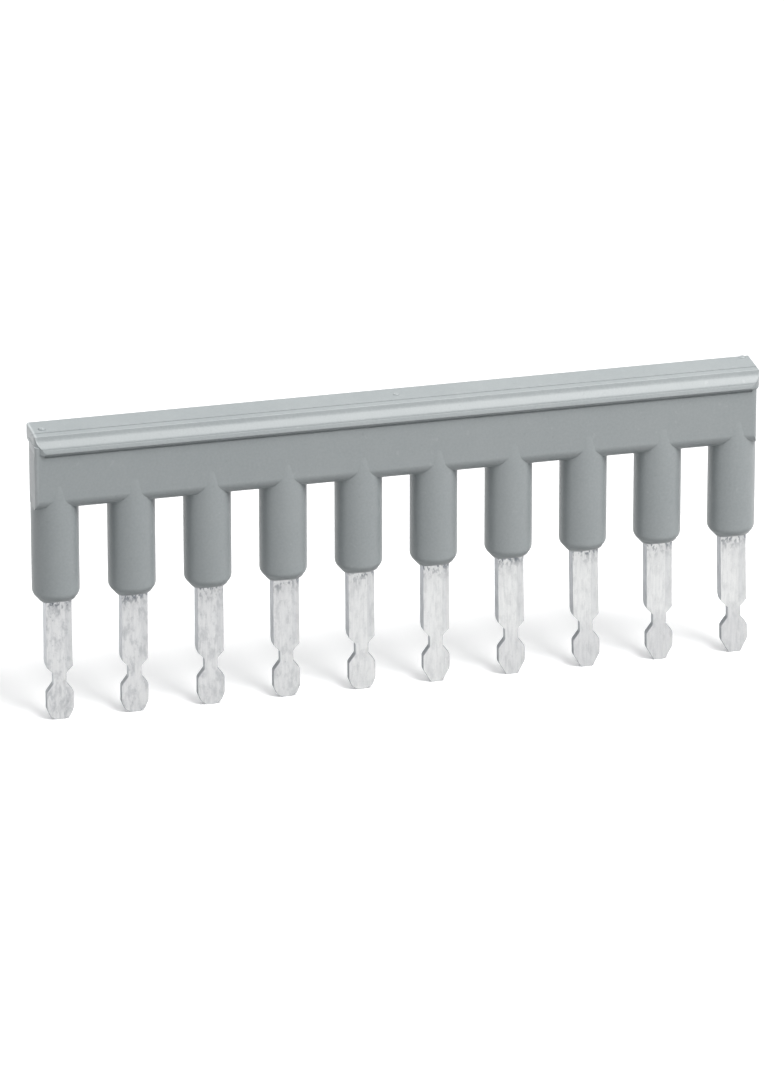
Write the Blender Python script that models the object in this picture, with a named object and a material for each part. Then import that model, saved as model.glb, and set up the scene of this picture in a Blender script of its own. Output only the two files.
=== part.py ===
"""Ten-pole insulated jumper bar for rail-mounted terminal blocks.

A stamped comb (bus strip and ten flat blades in one sheet) sits in one moulded
body: a grip flange that stands out over the front of a web, and a round sleeve
around the root of every blade. The origin is under the middle of the bar, in the
plane of the ten blade tips; X runs along the bar, the front is -Y, Z is up.
"""

import math

import bmesh
import bpy
from mathutils import Matrix

MM = 0.001

# ---- driving dimensions -------------------------------------------------
POLES = 10
PITCH = 5.0 * MM                 # one terminal block wide

TOP_Z = 20.1 * MM                # flange top above the blade tips

FLANGE_LENGTH = 48.0 * MM
FLANGE_FRONT_Y = -1.625 * MM
FLANGE_BACK_Y = 1.555 * MM
FLANGE_HEIGHT = 1.22 * MM
FLANGE_FRONT_CORNER = 0.80 * MM  # plan radii
FLANGE_BACK_CORNER = 0.25 * MM
FLANGE_END_TOP = 0.15 * MM       # rounding of the ends, seen from the front
FLANGE_END_LOW = 0.28 * MM
STEP_HEIGHT = 0.14 * MM          # steep step from the flange top to the bead
BEAD_RUN = 0.72 * MM             # length of the sloping bead, measured along it
LIP_RUN = 0.30 * MM              # lip under the bead
PLATFORM_DEPTH = 2.00 * MM       # flat top, from the back edge to the fine groove

WEB_LEFT_X = -24.03 * MM
WEB_RIGHT_X = 23.78 * MM
WEB_FRONT_Y = -1.425 * MM
WEB_BACK_Y = 1.505 * MM
WEB_BOTTOM_Z = 15.04 * MM
WEB_EDGE_RADIUS = 0.90 * MM      # rounding along the lower edges
WEB_EDGE_ANGLE = 56              # degrees the rounding turns before the flat underside
WEB_FRONT_CORNER = 0.30 * MM     # plan radii
WEB_BACK_CORNER = 1.10 * MM

BLADE_Y = 0.075 * MM             # middle plane of the comb and of the sleeves
SLEEVE_RADIUS = 1.55 * MM
SLEEVE_TOP_Z = 16.85 * MM        # small dome where a sleeve dies into the web
SLEEVE_RIM_Z = 8.84 * MM         # where cylinder and end cone would meet
SLEEVE_RIM_ROUND = 0.65 * MM
MOUTH_Z = 8.27 * MM
MOUTH_HALF_X = 1.03 * MM         # the cone closes on a rounded oblong mouth
MOUTH_HALF_Y = 0.66 * MM

BLADE_THICKNESS = 1.00 * MM
BLADE_WIDTH = 1.72 * MM
NECK_WIDTH = 0.88 * MM
HEAD_WIDTH = 1.77 * MM
TIP_WIDTH = 0.75 * MM
NECK_TOP_Z = 3.72 * MM           # shoulders start to draw in here
NECK_HIGH_Z = 3.22 * MM
NECK_LOW_Z = 2.52 * MM
HEAD_HIGH_Z = 1.92 * MM
HEAD_LOW_Z = 1.02 * MM

BUS_BOTTOM_Z = 15.9 * MM
BUS_TOP_Z = 18.3 * MM
BUS_LENGTH = (POLES - 1) * PITCH + BLADE_WIDTH

CLEARANCE = 0.05 * MM            # all round the comb inside its cavity
SLIVER = 0.002 * MM              # the rounding tools are smaller than the flat sides by this

SLEEVE_SEGMENTS = 32

BLADE_X = [(i - (POLES - 1) / 2.0) * PITCH for i in range(POLES)]


# ---- scene --------------------------------------------------------------
for old in list(bpy.data.objects):
    bpy.data.objects.remove(old, do_unlink=True)

parts = bpy.data.collections.new("jumper_bar")
tools = bpy.data.collections.new("jumper_bar_cutters")
sleeve_tools = bpy.data.collections.new("jumper_bar_sleeves")
for col in (parts, tools, sleeve_tools):
    bpy.context.scene.collection.children.link(col)


def add_object(name, mesh, collection, guide=False):
    obj = bpy.data.objects.new(name, mesh)
    collection.objects.link(obj)
    if guide:
        obj.hide_render = True
        obj.display_type = 'WIRE'
    return obj


def material(name, colour, roughness, metallic):
    mat = bpy.data.materials.new(name)
    mat.use_nodes = True
    shader = mat.node_tree.nodes["Principled BSDF"]
    shader.inputs["Base Color"].default_value = (*colour, 1.0)
    shader.inputs["Roughness"].default_value = roughness
    shader.inputs["Metallic"].default_value = metallic
    return mat


def arc(cx, cy, radius, start, end, steps):
    """Points on a circle from start to end degrees, both included."""
    out = []
    for k in range(steps + 1):
        t = math.radians(start + (end - start) * k / steps)
        out.append((cx + radius * math.cos(t), cy + radius * math.sin(t)))
    return out


def plate(name, outline, thickness, matrix):
    """A closed flat outline extruded both ways, turned into a welded mesh."""
    curve = bpy.data.curves.new(name, 'CURVE')
    curve.dimensions = '2D'
    curve.fill_mode = 'BOTH'
    curve.extrude = thickness / 2.0
    spline = curve.splines.new('POLY')
    spline.points.add(len(outline) - 1)
    for point, (u, v) in zip(spline.points, outline):
        point.co = (u, v, 0.0, 1.0)
    spline.use_cyclic_u = True
    source = bpy.data.objects.new(name + "_curve", curve)
    bpy.context.scene.collection.objects.link(source)
    source.matrix_world = matrix
    bpy.context.view_layer.update()
    shape = source.evaluated_get(bpy.context.evaluated_depsgraph_get())
    mesh = bpy.data.meshes.new_from_object(shape)
    bpy.data.objects.remove(source, do_unlink=True)
    bm = bmesh.new()
    bm.from_mesh(mesh)
    bmesh.ops.remove_doubles(bm, verts=bm.verts, dist=1e-7)
    # each cap becomes one face, whatever triangles the curve filled it with
    for side in (-1, 1):
        cap = [f for f in bm.faces
               if all(abs(v.co.z - side * thickness / 2) < 1e-7 for v in f.verts)]
        bmesh.ops.dissolve_faces(bm, faces=cap)
    bmesh.ops.recalc_face_normals(bm, faces=bm.faces)
    bm.to_mesh(mesh)
    bm.free()
    mesh.transform(matrix)
    mesh.name = name
    return mesh


# local axes of an outline: (x, y) of the outline, and its extrusion
ALONG_X = Matrix(((0, 0, 1, 0), (1, 0, 0, 0), (0, 1, 0, 0), (0, 0, 0, 1)))
ALONG_Y = Matrix(((1, 0, 0, 0), (0, 0, -1, 0), (0, 1, 0, 0), (0, 0, 0, 1)))
ALONG_Z = Matrix.Identity(4)


# ---- contact comb -------------------------------------------------------
def blade_side():
    """Right half of a blade below its shaft: (half width, height), going down."""
    half = BLADE_WIDTH / 2
    neck = NECK_WIDTH / 2
    head = HEAD_WIDTH / 2
    tip = TIP_WIDTH / 2
    side = [(half, NECK_TOP_Z),
            (half - 0.06 * MM, NECK_TOP_Z - 0.11 * MM),
            (neck + 0.05 * MM, NECK_HIGH_Z + 0.06 * MM),
            (neck, NECK_HIGH_Z - 0.04 * MM),
            (neck, NECK_LOW_Z + 0.03 * MM),
            (neck + 0.05 * MM, NECK_LOW_Z - 0.07 * MM),
            (head - 0.08 * MM, HEAD_HIGH_Z + 0.10 * MM),
            (head - 0.02 * MM, HEAD_HIGH_Z - 0.03 * MM),
            (head, HEAD_HIGH_Z - 0.16 * MM),
            (head, HEAD_LOW_Z + 0.12 * MM),
            (head - 0.02 * MM, HEAD_LOW_Z),
            (head - 0.09 * MM, HEAD_LOW_Z - 0.16 * MM),
            (tip, 0.0)]
    return side


def comb_outline(grow, with_heads):
    """Outline of the comb in the XZ plane, grown by the cavity's clearance."""
    half = BLADE_WIDTH / 2 + grow
    top = BUS_TOP_Z + grow
    low = BUS_BOTTOM_Z - grow
    end = BUS_LENGTH / 2 + grow
    points = [(-end, top)]
    for x in BLADE_X:
        if x > BLADE_X[0]:
            points.append((x - half, low))
        if with_heads:
            side = blade_side()
            points += [(x - w, z) for w, z in side]
            points += [(x + w, z) for w, z in reversed(side)]
        else:
            points += [(x - half, MOUTH_Z - 0.5 * MM), (x + half, MOUTH_Z - 0.5 * MM)]
        if x < BLADE_X[-1]:
            points.append((x + half, low))
    points.append((end, top))
    return points


comb_mesh = plate("contact_comb", comb_outline(0.0, True), BLADE_THICKNESS,
                  Matrix.Translation((0, BLADE_Y, 0)) @ ALONG_Y)
comb = add_object("contact_comb", comb_mesh, parts)
comb.data.materials.clear()
comb.data.materials.append(material("tinned_copper", (0.70, 0.71, 0.72), 0.42, 0.85))


# ---- insulating body ----------------------------------------------------
def slope_run(points, start, end, length, steps):
    """Goes on down the front while the normal tips from start to end degrees."""
    y, z = points[-1]
    for k in range(steps):
        t = math.radians(start + (end - start) * (k + 0.5) / steps)
        y -= length / steps * math.sin(t)
        z -= length / steps * math.cos(t)
        points.append((y, z))


def flange_outline():
    """Section of the flange in the YZ plane; the front is at -Y."""
    back, front = FLANGE_BACK_Y, FLANGE_FRONT_Y
    top = TOP_Z
    bottom = TOP_Z - FLANGE_HEIGHT
    groove = back - PLATFORM_DEPTH
    points = [(back - 0.08 * MM, bottom), (back, bottom + 0.08 * MM)]
    points += arc(back - 0.12 * MM, top - 0.12 * MM, 0.12 * MM, 0, 90, 3)
    points += [(groove, top),
               (groove - 0.025 * MM, top - 0.045 * MM),
               (groove - 0.085 * MM, top - 0.045 * MM),
               (groove - 0.110 * MM, top - 0.005 * MM)]
    run = [(0.0, top - 0.005 * MM)]
    slope_run(run, 49, 49, 0.05 * MM, 1)
    slope_run(run, 16, 16, STEP_HEIGHT - 0.04 * MM, 1)
    slope_run(run, 16, 38, 0.375 * BEAD_RUN, 3)
    slope_run(run, 37, 37, 0.458 * BEAD_RUN, 1)
    slope_run(run, 34, 20, 0.167 * BEAD_RUN, 2)
    slope_run(run, -6, -6, 0.03 * MM, 1)
    slope_run(run, 36, 36, 0.03 * MM, 1)
    slope_run(run, 18, 18, LIP_RUN - 0.09 * MM, 1)
    slope_run(run, 0, -45, 0.09 * MM, 2)
    shift = front - min(y for y, z in run)
    points += [(y + shift, z) for y, z in run]
    points += [(WEB_FRONT_Y + 0.01 * MM, points[-1][1] - 0.02 * MM),
               (WEB_FRONT_Y + 0.06 * MM, bottom)]
    return points


def web_outline():
    """Section of the web in the YZ plane, its lower edges rounded."""
    front, back = WEB_FRONT_Y, WEB_BACK_Y
    r = WEB_EDGE_RADIUS
    centre = WEB_BOTTOM_Z + r * math.sin(math.radians(WEB_EDGE_ANGLE))
    up = TOP_Z - 0.55 * FLANGE_HEIGHT
    points = [(front, up)]
    points += arc(front + r, centre, r, 180, 180 + WEB_EDGE_ANGLE, 6)
    points += arc(back - r, centre, r, 360 - WEB_EDGE_ANGLE, 360, 6)
    points.append((back, up))
    return points


def plan_outline(length, depth, front_radius, back_radius):
    hx, hy, f, b = length / 2, depth / 2, front_radius, back_radius
    points = arc(hx - b, hy - b, b, 0, 90, 5)
    points += arc(-hx + b, hy - b, b, 90, 180, 5)
    points += arc(-hx + f, -hy + f, f, 180, 270, 5)
    points += arc(hx - f, -hy + f, f, 270, 360, 5)
    return points


def end_trim_outline():
    """Seen from the front: above the web's lower edge nothing passes its ends."""
    side = SLEEVE_RADIUS + BLADE_X[-1] + 0.1 * MM
    left, right = WEB_LEFT_X + SLIVER * 3, WEB_RIGHT_X - SLIVER * 3
    low, high = WEB_BOTTOM_Z + 0.10 * MM, WEB_BOTTOM_Z + 0.55 * MM
    return [(-side, MOUTH_Z - 1.0 * MM), (side, MOUTH_Z - 1.0 * MM), (side, low),
            (right, high), (right, SLEEVE_TOP_Z + 1.0 * MM),
            (left, SLEEVE_TOP_Z + 1.0 * MM), (left, high), (-side, low)]


def flange_front_outline():
    """Outline of the flange seen from the front, its ends rounded."""
    hx = (FLANGE_LENGTH - SLIVER * 2) / 2
    top, low = TOP_Z - SLIVER / 2, TOP_Z - FLANGE_HEIGHT + SLIVER / 2
    rt, rl = FLANGE_END_TOP, FLANGE_END_LOW
    points = arc(hx - rt, top - rt, rt, 0, 90, 4)
    points += arc(-hx + rt, top - rt, rt, 90, 180, 4)
    points += arc(-hx + rl, low + rl, rl, 180, 270, 3)
    points += arc(hx - rl, low + rl, rl, 270, 360, 3)
    return points


def sleeve_rings():
    """(height, radius) of the turned sleeve, from its dome down to the mouth."""
    r = SLEEVE_RADIUS
    rings = [(SLEEVE_TOP_Z, r - 0.30 * MM),
             (SLEEVE_TOP_Z - 0.05 * MM, r - 0.10 * MM),
             (SLEEVE_TOP_Z - 0.14 * MM, r - 0.03 * MM),
             (SLEEVE_TOP_Z - 0.26 * MM, r)]
    run = SLEEVE_RIM_ROUND * math.tan(math.radians(22.5))
    for k in range(5):
        t = math.radians(45.0 * k / 4)
        rings.append((SLEEVE_RIM_Z + run - SLEEVE_RIM_ROUND * math.sin(t),
                      r - SLEEVE_RIM_ROUND * (1 - math.cos(t))))
    rings.append((MOUTH_Z, None))
    return rings


def sleeve_mesh():
    """Loft of rings: round all the way down, oblong only at the mouth."""
    bm = bmesh.new()
    first = []
    edges = []
    for z, radius in sleeve_rings():
        if not first:
            verts = bmesh.ops.create_circle(bm, cap_ends=False,
                                            segments=SLEEVE_SEGMENTS,
                                            radius=radius)["verts"]
            edges = list({e for v in verts for e in v.link_edges})
            first = edges
        else:
            made = bmesh.ops.extrude_edge_only(bm, edges=edges)["geom"]
            verts = [g for g in made if isinstance(g, bmesh.types.BMVert)]
            edges = [g for g in made if isinstance(g, bmesh.types.BMEdge)]
        for v in verts:
            angle = math.atan2(v.co.y, v.co.x)
            c, s = math.cos(angle), math.sin(angle)
            if radius is None:
                # rounded oblong (exponent 4) around the blade
                k = (abs(c / MOUTH_HALF_X) ** 4 + abs(s / MOUTH_HALF_Y) ** 4) ** -0.25
                v.co = (c * k, s * k, z)
            else:
                v.co = (c * radius, s * radius, z)
    bmesh.ops.edgenet_fill(bm, edges=first)
    bmesh.ops.edgenet_fill(bm, edges=edges)
    bmesh.ops.recalc_face_normals(bm, faces=bm.faces)
    mesh = bpy.data.meshes.new("sleeve")
    bm.to_mesh(mesh)
    bm.free()
    return mesh


def boolean(obj, name, operation, operand):
    mod = obj.modifiers.new(name, 'BOOLEAN')
    mod.operation = operation
    mod.solver = 'EXACT'
    if isinstance(operand, bpy.types.Collection):
        mod.operand_type = 'COLLECTION'
        mod.collection = operand
    else:
        mod.object = operand
    return mod


WEB_LENGTH = WEB_RIGHT_X - WEB_LEFT_X
WEB_MIDDLE_X = (WEB_RIGHT_X + WEB_LEFT_X) / 2
web_mesh = plate("insulating_body", web_outline(), WEB_LENGTH,
                 Matrix.Translation((WEB_MIDDLE_X, 0, 0)) @ ALONG_X)
body = add_object("insulating_body", web_mesh, parts)
body.data.materials.clear()
body.data.materials.append(material("grey_polyamide", (0.30, 0.33, 0.34), 0.55, 0.0))

plan_mesh = plate("web_plan",
                  plan_outline(WEB_LENGTH - SLIVER, WEB_BACK_Y - WEB_FRONT_Y - SLIVER,
                               WEB_FRONT_CORNER, WEB_BACK_CORNER),
                  12.0 * MM,
                  Matrix.Translation((WEB_MIDDLE_X, (WEB_BACK_Y + WEB_FRONT_Y) / 2, 17.0 * MM))
                  @ ALONG_Z)
web_plan = add_object("web_plan", plan_mesh, tools, guide=True)

flange_mesh = plate("flange", flange_outline(), FLANGE_LENGTH, ALONG_X)
flange = add_object("flange", flange_mesh, tools, guide=True)
flange_plan_mesh = plate("flange_plan",
                         plan_outline(FLANGE_LENGTH - SLIVER,
                                      FLANGE_BACK_Y - FLANGE_FRONT_Y - SLIVER,
                                      FLANGE_FRONT_CORNER, FLANGE_BACK_CORNER),
                         4.0 * MM,
                         Matrix.Translation((0, (FLANGE_BACK_Y + FLANGE_FRONT_Y) / 2,
                                             TOP_Z - 0.5 * MM)))
flange_plan = add_object("flange_plan", flange_plan_mesh, tools, guide=True)
flange_front_mesh = plate("flange_front", flange_front_outline(), 6.0 * MM, ALONG_Y)
flange_front = add_object("flange_front", flange_front_mesh, tools, guide=True)
boolean(flange, "round_corners", 'INTERSECT', flange_plan)
boolean(flange, "round_ends", 'INTERSECT', flange_front)

end_trim = add_object("end_trim", plate("end_trim", end_trim_outline(), 6.0 * MM, ALONG_Y),
                      tools, guide=True)
sleeve = sleeve_mesh()
for number, x in enumerate(BLADE_X, 1):
    tube = add_object("sleeve_%02d" % number, sleeve, sleeve_tools, guide=True)
    tube.location = (x, BLADE_Y, 0)
    if number in (1, POLES):
        boolean(tube, "flush_end", 'INTERSECT', end_trim)

cavity_mesh = plate("comb_cavity", comb_outline(CLEARANCE, False),
                    BLADE_THICKNESS + 2 * CLEARANCE,
                    Matrix.Translation((0, BLADE_Y, 0)) @ ALONG_Y)
cavity = add_object("comb_cavity", cavity_mesh, tools, guide=True)

boolean(body, "round_ends", 'INTERSECT', web_plan)
boolean(body, "add_flange", 'UNION', flange)
boolean(body, "add_sleeves", 'UNION', sleeve_tools)
boolean(body, "comb_cavity", 'DIFFERENCE', cavity)

for obj in (comb, body):
    obj.data.shade_smooth()
    obj.data.set_sharp_from_angle(angle=math.radians(30))
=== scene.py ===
"""Looks of a ten-pole insulated jumper bar, standing on its blade tips.

Lengths are millimetres until a mesh is finished, and metres in the scene.
X runs along the bar, the front is -Y, Z is up, and the blade tips are at Z = 0.
"""

import math

import bmesh
import bpy
from mathutils import Matrix, Vector


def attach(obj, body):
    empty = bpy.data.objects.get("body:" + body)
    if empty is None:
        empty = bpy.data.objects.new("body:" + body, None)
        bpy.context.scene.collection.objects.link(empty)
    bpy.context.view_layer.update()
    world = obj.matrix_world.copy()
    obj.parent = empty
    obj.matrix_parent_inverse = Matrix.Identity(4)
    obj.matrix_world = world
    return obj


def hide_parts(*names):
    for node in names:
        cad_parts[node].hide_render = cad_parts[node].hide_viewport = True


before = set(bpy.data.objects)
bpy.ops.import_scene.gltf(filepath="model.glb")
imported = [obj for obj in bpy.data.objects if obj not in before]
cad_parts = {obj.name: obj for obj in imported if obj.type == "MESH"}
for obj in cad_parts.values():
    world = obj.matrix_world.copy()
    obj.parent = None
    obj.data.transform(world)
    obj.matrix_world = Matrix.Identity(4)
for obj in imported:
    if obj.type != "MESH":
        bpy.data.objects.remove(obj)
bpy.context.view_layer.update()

MM = 0.001

# ---- shape --------------------------------------------------------------
POLES = 10
PITCH = 5.0
TOP_Z = 20.1

FLANGE_LENGTH = 48.0
FLANGE_FRONT_Y = -1.625
FLANGE_BACK_Y = 1.555
FLANGE_HEIGHT = 1.22
FLANGE_FRONT_CORNER = 0.80
FLANGE_BACK_CORNER = 0.25
FLANGE_END_TOP = 0.15
FLANGE_END_LOW = 0.28
PLATFORM_DEPTH = 2.00

WEB_LEFT_X = -24.03
WEB_RIGHT_X = 23.78
WEB_FRONT_Y = -1.425
WEB_BACK_Y = 1.505
WEB_BOTTOM_Z = 15.04
WEB_EDGE_RADIUS = 0.90
WEB_EDGE_ANGLE = 56
WEB_FRONT_CORNER = 0.30
WEB_BACK_CORNER = 1.10

BLADE_Y = 0.075
SLEEVE_RADIUS = 1.55
SLEEVE_TOP_Z = 16.85
SLEEVE_RIM_Z = 8.84
SLEEVE_RIM_ROUND = 0.65
MOUTH_Z = 8.27
MOUTH_HALF_X = 1.00
MOUTH_HALF_Y = 0.62

BLADE_THICKNESS = 1.00
BLADE_WIDTH = 1.72
BLADE_EDGE_ROUND = 0.05
HEAD_THICKNESS = 0.48
COMB_SHIFT = 0.07                # the comb sits a little to the right in its housing
LEANS = (0.02, -0.06, 0.0, 0.03, 0.06, 0.03, 0.10, 0.16, 0.09, 0.18)
BUS_BOTTOM_Z = 15.9
BUS_TOP_Z = 18.3

BLADE_X = [(i - (POLES - 1) / 2) * PITCH for i in range(POLES)]

ALONG_X = Matrix(((0, 0, 1, 0), (1, 0, 0, 0), (0, 1, 0, 0), (0, 0, 0, 1)))
ALONG_Y = Matrix(((1, 0, 0, 0), (0, 0, -1, 0), (0, 1, 0, 0), (0, 0, 0, 1)))
ALONG_Z = Matrix.Identity(4)


def arc(cx, cy, radius, start, end, steps):
    """Points on a circle from start to end degrees, both included."""
    out = []
    for k in range(steps + 1):
        t = math.radians(start + (end - start) * k / steps)
        out.append((cx + radius * math.cos(t), cy + radius * math.sin(t)))
    return out


def soften(corners, steps=6):
    """An open outline of (x, y, radius) corners with each corner rounded."""
    out = []
    for i, (x, y, r) in enumerate(corners):
        if r <= 0 or i in (0, len(corners) - 1):
            out.append((x, y))
            continue
        p = Vector((x, y))
        a = Vector(corners[i - 1][:2]) - p
        b = Vector(corners[i + 1][:2]) - p
        turn = a.angle(b)
        reach = min(r / math.tan(turn / 2), 0.48 * a.length, 0.48 * b.length)
        r = reach * math.tan(turn / 2)
        start, end = p + a.normalized() * reach, p + b.normalized() * reach
        centre = p + (a.normalized() + b.normalized()).normalized() * (r / math.sin(turn / 2))
        u, v = start - centre, end - centre
        sweep = u.angle(v)
        for k in range(steps + 1):
            t = k / steps
            w = (u * math.sin((1 - t) * sweep) + v * math.sin(t * sweep)) / math.sin(sweep)
            out.append(tuple(centre + w))
    return out


def tool_object(name, mesh):
    obj = bpy.data.objects.new(name, mesh)
    bpy.context.scene.collection.objects.link(obj)
    return obj


def plate(name, outline, thickness, matrix):
    """A closed flat outline extruded both ways, as a welded mesh in mm."""
    bm = bmesh.new()
    verts = [bm.verts.new((u, v, -thickness / 2)) for u, v in outline]
    base = bm.faces.new(verts)
    made = bmesh.ops.extrude_face_region(bm, geom=[base])["geom"]
    top = [g for g in made if isinstance(g, bmesh.types.BMVert)]
    bmesh.ops.translate(bm, verts=top, vec=(0, 0, thickness))
    bmesh.ops.recalc_face_normals(bm, faces=bm.faces)
    bmesh.ops.transform(bm, matrix=matrix, verts=bm.verts)
    mesh = bpy.data.meshes.new(name)
    bm.to_mesh(mesh)
    bm.free()
    return mesh


def loft(name, rings, segments):
    """Rings of (z, radius), or (z, half x, half y, exponent), joined and capped."""
    bm = bmesh.new()
    loops = []
    for ring in rings:
        loop = []
        for k in range(segments):
            t = 2 * math.pi * k / segments
            c, s = math.cos(t), math.sin(t)
            if len(ring) == 2:
                r = ring[1]
            else:
                _, hx, hy, n = ring
                r = (abs(c / hx) ** n + abs(s / hy) ** n) ** (-1 / n)
            loop.append(bm.verts.new((c * r, s * r, ring[0])))
        loops.append(loop)
    for a, b in zip(loops, loops[1:]):
        for k in range(segments):
            n = (k + 1) % segments
            bm.faces.new((a[k], a[n], b[n], b[k]))
    bm.faces.new(loops[0])
    bm.faces.new(loops[-1])
    bmesh.ops.recalc_face_normals(bm, faces=bm.faces)
    mesh = bpy.data.meshes.new(name)
    bm.to_mesh(mesh)
    bm.free()
    return mesh


def boolean(obj, operation, operand):
    mod = obj.modifiers.new(operation.lower(), 'BOOLEAN')
    mod.operation = operation
    mod.solver = 'EXACT'
    if isinstance(operand, bpy.types.Collection):
        mod.operand_type = 'COLLECTION'
        mod.collection = operand
    else:
        mod.object = operand


def plan(length, depth, front_radius, back_radius):
    """A rectangle in X and Y with its own corner radius at the front and back."""
    hx, hy, f, b = length / 2, depth / 2, front_radius, back_radius
    return (arc(hx - b, hy - b, b, 0, 90, 10) + arc(-hx + b, hy - b, b, 90, 180, 10)
            + arc(-hx + f, -hy + f, f, 180, 270, 14) + arc(hx - f, -hy + f, f, 270, 360, 14))


def evaluated_mesh(obj, name):
    bpy.context.view_layer.update()
    mesh = bpy.data.meshes.new_from_object(
        obj.evaluated_get(bpy.context.evaluated_depsgraph_get()))
    mesh.name = name
    return mesh


# ---- insulating body ----------------------------------------------------
def slope_run(points, start, end, length, steps):
    """Goes on down the front while the normal tips from start to end degrees."""
    y, z = points[-1]
    for k in range(steps):
        t = math.radians(start + (end - start) * (k + 0.5) / steps)
        y -= length / steps * math.sin(t)
        z -= length / steps * math.cos(t)
        points.append((y, z))


def flange_outline():
    back, front = FLANGE_BACK_Y, FLANGE_FRONT_Y
    top, bottom = TOP_Z, TOP_Z - FLANGE_HEIGHT
    groove = back - PLATFORM_DEPTH
    points = [(back - 0.08, bottom), (back - 0.02, bottom + 0.02), (back, bottom + 0.08)]
    points += arc(back - 0.12, top - 0.12, 0.12, 0, 90, 6)
    points += [(groove, top),
               (groove - 0.010, top - 0.016),
               (groove - 0.022, top - 0.085),
               (groove - 0.088, top - 0.085),
               (groove - 0.100, top - 0.016),
               (groove - 0.118, top - 0.004)]
    # step, sloping bead, fine line, lip
    run = [(0.0, top - 0.004)]
    for start, end, length, steps in ((82, 16, 0.05, 4), (16, 16, 0.10, 1), (16, 38, 0.27, 6),
                                      (38, 37, 0.38, 3), (37, 20, 0.12, 5), (8, -20, 0.03, 2),
                                      (50, 22, 0.03, 2), (20, 17, 0.22, 2), (17, -35, 0.06, 5),
                                      (-60, -60, 0.04, 1)):
        slope_run(run, start, end, length, steps)
    shift = front - min(y for y, z in run)
    points += [(y + shift, z) for y, z in run]
    points += [(WEB_FRONT_Y + 0.01, points[-1][1] - 0.01),
               (WEB_FRONT_Y + 0.04, bottom + 0.06),
               (WEB_FRONT_Y + 0.08, bottom)]
    return points


def web_outline():
    front, back = WEB_FRONT_Y, WEB_BACK_Y
    r, low = WEB_EDGE_RADIUS, WEB_BOTTOM_Z
    centre = low + r * math.sin(math.radians(WEB_EDGE_ANGLE))
    up = TOP_Z - 0.55 * FLANGE_HEIGHT
    points = [(front, up)]
    points += arc(front + r, centre, r, 180, 180 + WEB_EDGE_ANGLE, 12)
    points += arc(back - r, centre, r, 360 - WEB_EDGE_ANGLE, 360, 12)
    points.append((back, up))
    return points


def flange_front_outline():
    hx = FLANGE_LENGTH / 2 - 0.002
    top, low = TOP_Z - 0.001, TOP_Z - FLANGE_HEIGHT + 0.001
    rt, rl = FLANGE_END_TOP, FLANGE_END_LOW
    return (arc(hx - rt, top - rt, rt, 0, 90, 8) + arc(-hx + rt, top - rt, rt, 90, 180, 8)
            + arc(-hx + rl, low + rl, rl, 180, 270, 6) + arc(hx - rl, low + rl, rl, 270, 360, 6))


def sleeve_rings():
    r, q = SLEEVE_RADIUS, SLEEVE_RIM_ROUND
    rings = [(SLEEVE_TOP_Z - fall, r - inward) for fall, inward in
             ((0, 0.34), (0.012, 0.20), (0.04, 0.12), (0.075, 0.078), (0.12, 0.055), (0.20, 0.042),
              (0.35, 0.034), (0.60, 0.022), (0.90, 0.010), (1.20, 0.0))]
    rings.append((12.5, r))
    run = q * math.tan(math.radians(22.5))
    for k in range(9):
        t = math.radians(45.0 * k / 8)
        rings.append((SLEEVE_RIM_Z + run - q * math.sin(t), r - q * (1 - math.cos(t))))
    z0, r0 = rings[-1]
    for k, t in enumerate((0.3, 0.6, 0.88)):
        n = 2.0 + 2.0 * t
        rings.append((z0 + (MOUTH_Z - z0) * t,
                      r0 + (MOUTH_HALF_X - r0) * t, r0 + (MOUTH_HALF_Y - r0) * t, n))
    rings.append((MOUTH_Z + 0.012, MOUTH_HALF_X - 0.02, MOUTH_HALF_Y - 0.02, 4.0))
    rings.append((MOUTH_Z, MOUTH_HALF_X - 0.05, MOUTH_HALF_Y - 0.05, 4.0))
    return rings


def comb_outline(grow, foot):
    half = BLADE_WIDTH / 2 + grow
    top, low = BUS_TOP_Z + grow, BUS_BOTTOM_Z - grow
    end = (POLES - 1) * PITCH / 2 + half
    points = [(-end, top)]
    for x in BLADE_X:
        if x > BLADE_X[0]:
            points.append((x - half, low))
        points += foot(x, half)
        if x < BLADE_X[-1]:
            points.append((x + half, low))
    points.append((end, top))
    return points


def nub(name, x, y, radius, height, z=TOP_Z):
    """A low round nub left where a mould's gate or pin was."""
    rings = [(z - 0.15, radius), (z, radius)]
    rings += [(z + height * math.sin(t), radius * math.cos(t))
              for t in (math.radians(a) for a in (14, 28, 42, 56, 70, 82))]
    obj = tool_object(name, loft(name, rings, 28))
    obj.location = (x, y, 0)
    return obj


WEB_LENGTH = WEB_RIGHT_X - WEB_LEFT_X
WEB_MIDDLE = (WEB_RIGHT_X + WEB_LEFT_X) / 2
web = tool_object("web", plate("web", web_outline(), WEB_LENGTH,
                               Matrix.Translation((WEB_MIDDLE, 0, 0)) @ ALONG_X))
web_plan = tool_object("web_plan", plate(
    "web_plan", plan(WEB_LENGTH - 0.002, WEB_BACK_Y - WEB_FRONT_Y - 0.002,
                     WEB_FRONT_CORNER, WEB_BACK_CORNER), 12.0,
    Matrix.Translation((WEB_MIDDLE, (WEB_BACK_Y + WEB_FRONT_Y) / 2, 17.0))))
flange = tool_object("flange", plate("flange", flange_outline(), FLANGE_LENGTH, ALONG_X))
flange_plan = tool_object("flange_plan", plate(
    "flange_plan",
    plan(FLANGE_LENGTH - 0.002, FLANGE_BACK_Y - FLANGE_FRONT_Y - 0.002,
         FLANGE_FRONT_CORNER, FLANGE_BACK_CORNER), 4.0,
    Matrix.Translation((0, (FLANGE_BACK_Y + FLANGE_FRONT_Y) / 2, TOP_Z - 0.5))))
flange_front = tool_object("flange_front", plate(
    "flange_front", flange_front_outline(), 6.0, ALONG_Y))
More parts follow.
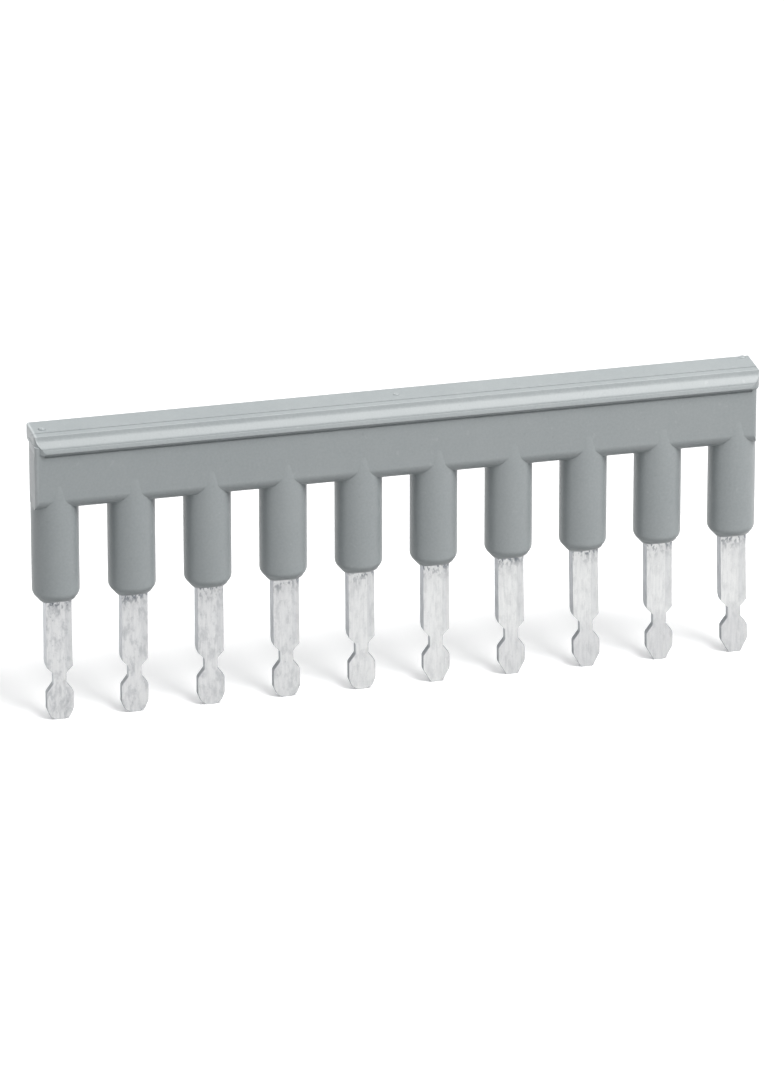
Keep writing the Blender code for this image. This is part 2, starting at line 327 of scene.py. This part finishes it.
boolean(flange, 'INTERSECT', flange_plan)
boolean(flange, 'INTERSECT', flange_front)

# a narrow channel under the lip, along the front of the web, stopping short of its ends
neck_z = TOP_Z - FLANGE_HEIGHT
channel = tool_object("channel", plate(
    "channel", [(-2.2, neck_z - 0.02), (-2.2, neck_z - 0.17),
                (WEB_FRONT_Y + 0.02, neck_z - 0.17), (WEB_FRONT_Y + 0.09, neck_z - 0.10),
                (WEB_FRONT_Y + 0.09, neck_z + 0.02), (WEB_FRONT_Y + 0.03, neck_z + 0.02),
                (WEB_FRONT_Y + 0.03, neck_z - 0.02)], WEB_LENGTH - 1.0, ALONG_X))
boolean(web, 'DIFFERENCE', channel)

added = bpy.data.collections.new("added")
bpy.context.scene.collection.children.link(added)
sleeve_mesh = loft("sleeve", sleeve_rings(), 96)
tools = [web, web_plan, flange, flange_plan, flange_front, channel]
# above the web's lower edge the end sleeves stop flush with the ends of the web
end_trim = tool_object("end_trim", plate(
    "end_trim", [(-24.2, 7.0), (24.2, 7.0), (24.2, 15.14),
                 (WEB_RIGHT_X - 0.01, 15.59), (WEB_RIGHT_X - 0.01, 18.0),
                 (WEB_LEFT_X + 0.01, 18.0), (WEB_LEFT_X + 0.01, 15.59), (-24.2, 15.14)],
    6.0, ALONG_Y))
tools.append(end_trim)
for x in BLADE_X:
    tube = tool_object("tube", sleeve_mesh)
    tube.location = (x, BLADE_Y, 0)
    if x in (BLADE_X[0], BLADE_X[-1]):
        boolean(tube, 'INTERSECT', end_trim)
    tools.append(tube)
    added.objects.link(tube)
for spot in (nub("nub_left", -23.24, 0.10, 0.25, 0.17),
             nub("nub_middle", 0.10, 0.42, 0.21, 0.12),
             nub("nub_right", 23.45, 1.22, 0.24, 0.11)):
    tools.append(spot)
    added.objects.link(spot)

cavity = tool_object("cavity", plate(
    "cavity", comb_outline(0.035, lambda x, h: [(x - h, 7.5), (x + h, 7.5)]),
    BLADE_THICKNESS + 0.07, Matrix.Translation((COMB_SHIFT, BLADE_Y, 0)) @ ALONG_Y))
tools.append(cavity)

boolean(web, 'INTERSECT', web_plan)
boolean(web, 'UNION', flange)
boolean(web, 'UNION', added)
boolean(web, 'DIFFERENCE', cavity)
body_mesh = evaluated_mesh(web, "moulded_body")
for obj in tools:
    bpy.data.objects.remove(obj, do_unlink=True)
bpy.data.collections.remove(added)


def tidy(mesh, sharp, step):
    """Welds slivers, cuts long faces every step mm, and sets the shading."""
    bm = bmesh.new()
    bm.from_mesh(mesh)
    bmesh.ops.remove_doubles(bm, verts=bm.verts, dist=2e-4)
    bmesh.ops.dissolve_degenerate(bm, edges=bm.edges, dist=1e-4)
    x = -24.0 + step / 2
    while x < 24.1:
        geom = bm.verts[:] + bm.edges[:] + bm.faces[:]
        bmesh.ops.bisect_plane(bm, geom=geom, dist=1e-5,
                               plane_co=(x, 0, 0), plane_no=(1, 0, 0))
        x += step
    for f in bm.faces:
        f.smooth = True
    bmesh.ops.scale(bm, vec=(MM, MM, MM), verts=bm.verts)
    bm.to_mesh(mesh)
    bm.free()
    mesh.shade_smooth()
    mesh.set_sharp_from_angle(angle=math.radians(sharp))
    return mesh


body_mesh.materials.clear()
body = bpy.data.objects.new("moulded_body", tidy(body_mesh, 13, 2.5))
bpy.context.scene.collection.objects.link(body)


# ---- contact comb -------------------------------------------------------
def blade_foot(x, half):
    corners = [(half, 6.0, 0), (half, 3.68, 0.12), (0.440, 3.22, 0.16),
               (0.440, 2.52, 0.24), (0.885, 1.92, 0.34)]
    if x < 0:
        corners += [(0.885, 0.74, 0.40), (0.670, 0.22, 0.30), (0.340, 0.0, 0.14),
                    (0.16, 0.0, 0.0)]
    else:
        corners += [(0.885, 0.90, 0.50), (0.385, 0.0, 0.0)]
    side = soften(corners)
    lean = LEANS[BLADE_X.index(x)]
    def bend(z):
        return x + lean * min(max((7.6 - z) / 7.6, 0.0), 1.0)
    return ([(x - half, 7.6)] + [(bend(z) - w, z) for w, z in side]
            + [(bend(z) + w, z) for w, z in reversed(side)] + [(x + half, 7.6)])


comb_mesh = plate("stamped_comb", comb_outline(0.0, blade_foot), BLADE_THICKNESS,
                  Matrix.Translation((COMB_SHIFT, BLADE_Y, 0)) @ ALONG_Y)
bm = bmesh.new()
bm.from_mesh(comb_mesh)
rims = [e for e in bm.edges
        if len(e.link_faces) == 2 and any(abs(f.normal.y) > 0.9 for f in e.link_faces)
        and any(abs(f.normal.y) < 0.1 for f in e.link_faces)]
bmesh.ops.bevel(bm, geom=rims, offset=BLADE_EDGE_ROUND, offset_type='OFFSET',
                segments=3, profile=0.5, affect='EDGES', clamp_overlap=True)
for z in (1.5, 2.85, 3.45, 3.6, 3.75, 3.95, 5.4, 6.6, 7.8, 9.0, 12.5):
    geom = bm.verts[:] + bm.edges[:] + bm.faces[:]
    bmesh.ops.bisect_plane(bm, geom=geom, dist=1e-5, plane_co=(0, 0, z), plane_no=(0, 0, 1))
# the heads are coined thinner, from the back
front = BLADE_Y - BLADE_THICKNESS / 2
for v in bm.verts:
    t = min(max((3.95 - v.co.z) / 0.50, 0.0), 1.0)
    t = t * t * (3.0 - 2.0 * t)
    v.co.y = front + (v.co.y - front) * (1.0 - t * (1.0 - HEAD_THICKNESS / BLADE_THICKNESS))
for f in bm.faces:
    f.smooth = True
    turned = 0.93 if f.calc_center_median().z < 3.3 else 0.35
    f.material_index = 1 if abs(f.normal.y) < turned else 0
bmesh.ops.scale(bm, vec=(MM, MM, MM), verts=bm.verts)
bm.to_mesh(comb_mesh)
bm.free()
comb_mesh.shade_smooth()
comb_mesh.set_sharp_from_angle(angle=math.radians(24))
comb = bpy.data.objects.new("stamped_comb", comb_mesh)
bpy.context.scene.collection.objects.link(comb)

for obj in (body, comb):
    mod = obj.modifiers.new("normals", 'WEIGHTED_NORMAL')
    mod.keep_sharp = True
    mod.weight = 90


# ---- materials ----------------------------------------------------------
class Nodes:
    """Short hand for building a node material."""

    def __init__(self, name):
        self.mat = bpy.data.materials.new(name)
        self.mat.use_nodes = True
        self.tree = self.mat.node_tree
        self.shader = self.tree.nodes["Principled BSDF"]

    def add(self, kind, **values):
        node = self.tree.nodes.new(kind)
        for key, value in values.items():
            setattr(node, key, value)
        return node

    def link(self, a, b):
        self.tree.links.new(a, b)

    def position(self, scale=(1, 1, 1)):
        coord = self.add("ShaderNodeTexCoord")
        mapping = self.add("ShaderNodeMapping")
        mapping.inputs["Scale"].default_value = scale
        self.link(coord.outputs["Object"], mapping.inputs["Vector"])
        return mapping.outputs["Vector"]

    def noise(self, size_mm, detail=2.0, rough=0.5, stretch=(1, 1, 1), warp=0.0):
        node = self.add("ShaderNodeTexNoise")
        self.link(self.position(stretch), node.inputs["Vector"])
        node.inputs["Scale"].default_value = 1000.0 / size_mm
        node.inputs["Detail"].default_value = detail
        node.inputs["Roughness"].default_value = rough
        node.inputs["Distortion"].default_value = warp
        return node.outputs["Fac"]

    def ramp(self, source, low, high, a=0.0, b=1.0):
        node = self.add("ShaderNodeMapRange")
        node.interpolation_type = 'SMOOTHSTEP'
        self.link(source, node.inputs["Value"])
        node.inputs["From Min"].default_value = low
        node.inputs["From Max"].default_value = high
        node.inputs["To Min"].default_value = a
        node.inputs["To Max"].default_value = b
        return node.outputs["Result"]

    def math(self, op, a, b):
        node = self.add("ShaderNodeMath", operation=op)
        for slot, value in enumerate((a, b)):
            if isinstance(value, (int, float)):
                node.inputs[slot].default_value = value
            else:
                self.link(value, node.inputs[slot])
        return node.outputs[0]

    def mix(self, factor, a, b, blend='MIX'):
        node = self.add("ShaderNodeMix", data_type='RGBA', blend_type=blend)
        for slot, value in ((0, factor), (6, a), (7, b)):
            if isinstance(value, (int, float)):
                node.inputs[slot].default_value = value
            elif isinstance(value, tuple):
                node.inputs[slot].default_value = (*value, 1.0)
            else:
                self.link(value, node.inputs[slot])
        return node.outputs[2]

    def axis(self, name):
        split = self.add("ShaderNodeSeparateXYZ")
        self.link(self.position(), split.inputs[0])
        return split.outputs[name]

    def bump(self, height, strength, distance_mm, before=None):
        node = self.add("ShaderNodeBump")
        node.inputs["Strength"].default_value = strength
        node.inputs["Distance"].default_value = distance_mm * MM
        self.link(height, node.inputs["Height"])
        if before is not None:
            self.link(before, node.inputs["Normal"])
        return node.outputs["Normal"]


def grey_polyamide():
    n = Nodes("grey_polyamide")
    cloud = n.ramp(n.noise(9.0, 2.0, 0.5), 0.30, 0.70)
    mottle = n.ramp(n.noise(0.9, 3.0, 0.55), 0.32, 0.68)
    grain = n.ramp(n.noise(0.16, 2.0, 0.6), 0.30, 0.70)
    specks = n.ramp(n.noise(0.30, 1.0, 0.4), 0.72, 0.80)
    pale = n.ramp(n.noise(0.42, 1.0, 0.4, (1.0, 1.1, 0.9)), 0.70, 0.80)
    base = n.mix(cloud, (0.330, 0.360, 0.369), (0.349, 0.378, 0.386))
    base = n.mix(n.math('MULTIPLY', mottle, 0.30), base, (0.309, 0.339, 0.349))
    base = n.mix(n.math('MULTIPLY', grain, 0.30), base, (0.420, 0.450, 0.458))
    base = n.mix(n.math('MULTIPLY', specks, 0.30), base, (0.255, 0.282, 0.292))
    base = n.mix(n.math('MULTIPLY', pale, 0.25), base, (0.480, 0.505, 0.512))
    # painted highlight: the web's upright front corner and the flange end at the left end are painted
    # paler, where light catches them
    x, y, z = n.axis("X"), n.axis("Y"), n.axis("Z")
    painted_corner_highlight = n.math('MULTIPLY', n.ramp(x, -0.02388, -0.02374, 1.0, 0.0),
                     n.ramp(y, -0.00128, -0.00108, 1.0, 0.0))
    painted_corner_highlight = n.math('MULTIPLY', painted_corner_highlight, n.ramp(z, 0.0150, 0.0158))
    painted_end_highlight = n.math('MULTIPLY', n.ramp(x, -0.02392, -0.02374, 1.0, 0.0), n.ramp(z, 0.01888, 0.01896))
    painted_highlight = n.math('MAXIMUM', painted_corner_highlight, painted_end_highlight)
    painted_highlight = n.math('MULTIPLY', painted_highlight, n.ramp(mottle, 0.0, 1.0, 0.60, 0.85))
    base = n.mix(painted_highlight, base, (0.540, 0.572, 0.582))
    # painted light: the body is painted lighter towards the right end, where the light falls stronger
    base = n.mix(n.ramp(x, -0.024, 0.024), base, (1.09, 1.085, 1.08), 'MULTIPLY')
    # painted shade along the fine groove on the flange top
    groove = n.math('MULTIPLY', n.ramp(y, -0.00070, -0.00056), n.ramp(y, -0.00044, -0.00030, 1.0, 0.0))
    groove = n.math('MULTIPLY', groove, n.ramp(z, 0.01994, 0.01998))
    base = n.mix(groove, base, (0.96, 0.96, 0.96), 'MULTIPLY')
    n.link(base, n.shader.inputs["Base Color"])
    rough = n.math('ADD', n.math('MULTIPLY', grain, 0.10),
                   n.math('MULTIPLY', cloud, 0.05))
    n.link(n.math('ADD', rough, 0.33), n.shader.inputs["Roughness"])
    n.shader.inputs["Specular IOR Level"].default_value = 0.50
    first = n.bump(n.noise(0.10, 3.0, 0.6), 0.30, 0.010)
    second = n.bump(n.noise(1.6, 2.0, 0.5), 0.25, 0.03, first)
    n.link(second, n.shader.inputs["Normal"])
    return n.mat


def tinned_face():
    n = Nodes("tinned_copper")
    streak = n.ramp(n.noise(0.13, 3.0, 0.6, (1.0, 1.0, 0.10), 0.15), 0.36, 0.66)
    blotch = n.ramp(n.noise(0.34, 4.0, 0.65, (1.0, 1.0, 0.45), 0.2), 0.44, 0.66)
    grain = n.ramp(n.noise(0.10, 2.0, 0.6), 0.30, 0.70)
    pits = n.ramp(n.noise(0.20, 2.0, 0.5, (1.0, 1.0, 0.7)), 0.66, 0.76)
    height = n.axis("Z")
    root = n.ramp(height, 0.0070, 0.0083)
    near = n.ramp(height, 0.0076, 0.0082)
    spots = n.ramp(n.noise(0.17, 3.0, 0.6, (1.0, 1.0, 0.45)), 0.47, 0.62)
    # darker in spots on the blades just below the sleeve mouths
    root_darkening = n.math('MAXIMUM', n.math('MULTIPLY', n.math('MULTIPLY', root, spots), 0.60),
                   n.math('MULTIPLY', n.math('MULTIPLY', near, spots), 1.0))
    left = n.ramp(n.axis("X"), -0.023, 0.004, 1.0, 0.30)
    base = n.mix(n.math('MULTIPLY', streak, 0.40), (0.715, 0.720, 0.728), (0.560, 0.570, 0.590))
    base = n.mix(n.math('MULTIPLY', n.math('MULTIPLY', blotch, left), 0.62), base, (0.430, 0.445, 0.470))
    base = n.mix(n.math('MULTIPLY', grain, 0.15), base, (0.850, 0.852, 0.858))
    base = n.mix(n.math('MULTIPLY', n.math('MULTIPLY', pits, left), 0.55), base, (0.300, 0.315, 0.340))
    base = n.mix(n.math('MULTIPLY', root_darkening, 0.95), base, (0.170, 0.188, 0.215))
    # painted light: the blades are painted lighter towards the right end, where the light falls
    # stronger; the lower heads on the right are then made darker again
    base = n.mix(n.ramp(n.axis("X"), -0.012, 0.006), base, (1.12, 1.12, 1.11), 'MULTIPLY')
    base = n.mix(1.0, base, (0.83, 0.83, 0.825), 'MULTIPLY')
    low_right = n.math('MULTIPLY', n.ramp(n.axis("X"), -0.002, 0.012),
                       n.ramp(height, 0.0026, 0.0038, 1.0, 0.0))
    base = n.mix(low_right, base, (0.875, 0.875, 0.885), 'MULTIPLY')
    # painted shade: a darker reflection is painted along the right edge of every blade shaft
    part = n.math('FRACT', n.math('DIVIDE', n.axis("X"), PITCH * MM), 0.0)
    painted_edge_shade = n.math('MULTIPLY', n.ramp(part, 0.585, 0.600), n.ramp(height, 0.0034, 0.0038))
    base = n.mix(n.math('MULTIPLY', painted_edge_shade, 0.32), base, (0.420, 0.430, 0.445))
    n.link(base, n.shader.inputs["Base Color"])
    n.shader.inputs["Metallic"].default_value = 0.70
    rough = n.math('ADD', n.math('MULTIPLY', blotch, 0.14), n.math('MULTIPLY', streak, 0.08))
    n.link(n.math('ADD', rough, 0.38), n.shader.inputs["Roughness"])
    first = n.bump(n.noise(0.12, 3.0, 0.6, (1.0, 1.0, 0.12)), 0.35, 0.012)
    second = n.bump(n.noise(0.45, 3.0, 0.6, (1.0, 1.0, 0.6)), 0.35, 0.03, first)
    n.link(second, n.shader.inputs["Normal"])
    return n.mat


def tinned_edge():
    n = Nodes("stamped_edge")
    shear = n.ramp(n.noise(0.20, 3.0, 0.6, (1.0, 4.0, 0.15)), 0.35, 0.65)
    blotch = n.ramp(n.noise(0.60, 3.0, 0.6), 0.40, 0.65)
    left = n.ramp(n.axis("X"), -0.023, -0.008)
    base = n.mix(shear, (0.42, 0.44, 0.46), (0.31, 0.325, 0.345))
    base = n.mix(n.math('MULTIPLY', blotch, 0.4), base, (0.48, 0.50, 0.52))
    base = n.mix(left, n.mix(0.6, base, (0.62, 0.64, 0.66)), base)
    base = n.mix(n.ramp(n.axis("Z"), 0.0004, 0.0030, 0.55, 0.0), base, (0.12, 0.13, 0.14))
    n.link(base, n.shader.inputs["Base Color"])
    n.shader.inputs["Metallic"].default_value = 0.75
    n.link(n.math('ADD', n.math('MULTIPLY', shear, 0.12), 0.42), n.shader.inputs["Roughness"])
    n.link(n.bump(n.noise(0.10, 3.0, 0.6, (1.0, 3.0, 0.2)), 0.4, 0.015),
           n.shader.inputs["Normal"])
    return n.mat


def paper_white():
    n = Nodes("paper_white")
    tone = n.ramp(n.noise(40.0, 2.0, 0.5), 0.3, 0.7)
    n.link(n.mix(tone, (0.87, 0.875, 0.88), (0.885, 0.89, 0.895)), n.shader.inputs["Base Color"])
    n.shader.inputs["Roughness"].default_value = 0.9
    n.shader.inputs["Specular IOR Level"].default_value = 0.1
    n.shader.inputs["Emission Color"].default_value = (1.0, 1.0, 1.0, 1.0)
    n.shader.inputs["Emission Strength"].default_value = 0.22
    return n.mat


body.data.materials.append(grey_polyamide())
comb.data.materials.append(tinned_face())
comb.data.materials.append(tinned_edge())

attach(body, "root")
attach(comb, "root")
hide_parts("insulating_body")
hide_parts("contact_comb")

# ---- floor, light, camera ----------------------------------------------
floor_mesh = bpy.data.meshes.new("floor")
bm = bmesh.new()
bmesh.ops.create_grid(bm, x_segments=2, y_segments=2, size=3.0)
bm.to_mesh(floor_mesh)
bm.free()
floor = bpy.data.objects.new("floor", floor_mesh)
bpy.context.scene.collection.objects.link(floor)
floor.data.materials.append(paper_white())
floor.visible_diffuse = False

world = bpy.data.worlds.new("studio")
bpy.context.scene.world = world
world.use_nodes = True
world.node_tree.nodes["Background"].inputs["Color"].default_value = (0.97, 0.985, 1.0, 1.0)
world.node_tree.nodes["Background"].inputs["Strength"].default_value = 0.22


def softbox(name, place, aim, width, height, power, colour=(1.0, 1.0, 1.0)):
    data = bpy.data.lights.new(name, 'AREA')
    data.shape = 'RECTANGLE'
    data.size, data.size_y = width, height
    data.energy = power
    data.color = colour
    lamp = bpy.data.objects.new(name, data)
    bpy.context.scene.collection.objects.link(lamp)
    lamp.location = place
    lamp.rotation_euler = (Vector(aim) - Vector(place)).to_track_quat('-Z', 'Y').to_euler()
    return lamp


softbox("key", (0.171, -0.246, 0.520), (0, 0, 0.01), 0.24, 0.24, 3.0, (1.0, 0.99, 0.98))
softbox("overhead", (0.02, -0.05, 0.60), (0, 0, 0.01), 0.45, 0.35, 1.30, (1.0, 0.99, 0.98))
softbox("right", (0.52, -0.18, 0.14), (0, 0, 0.01), 0.26, 0.24, 0.35)
softbox("left", (-0.52, -0.14, 0.12), (0, 0, 0.01), 0.20, 0.20, 0.45)
softbox("low", (0.10, -0.50, 0.04), (0, 0, 0.01), 0.50, 0.07, 0.31)
softbox("rear", (-0.15, 0.45, 0.35), (0, 0, 0.01), 0.30, 0.20, 0.9)

yaw, tilt = math.radians(13.9), math.radians(23.0)
right = Vector((math.cos(yaw), -math.sin(yaw), 0.0))
up = Vector((math.sin(yaw) * math.sin(tilt), math.cos(yaw) * math.sin(tilt), math.cos(tilt)))
back = Vector((-math.sin(yaw) * math.cos(tilt), -math.cos(yaw) * math.cos(tilt), math.sin(tilt)))
look = Vector((0.0, 0.075, 10.0)) + right * -0.252 + up * 0.517
eye = (look + back * 600.0) * MM
camera_data = bpy.data.cameras.new("camera")
camera_data.sensor_fit = 'HORIZONTAL'
camera_data.sensor_width = 36.0
camera_data.lens = 9272.0 * 36.0 / 784.0
camera = bpy.data.objects.new("camera", camera_data)
bpy.context.scene.collection.objects.link(camera)
camera.matrix_world = Matrix(((right.x, up.x, back.x, eye.x),
                              (right.y, up.y, back.y, eye.y),
                              (right.z, up.z, back.z, eye.z),
                              (0, 0, 0, 1)))
bpy.context.scene.camera = camera

bpy.context.scene.view_settings.view_transform = 'Standard'
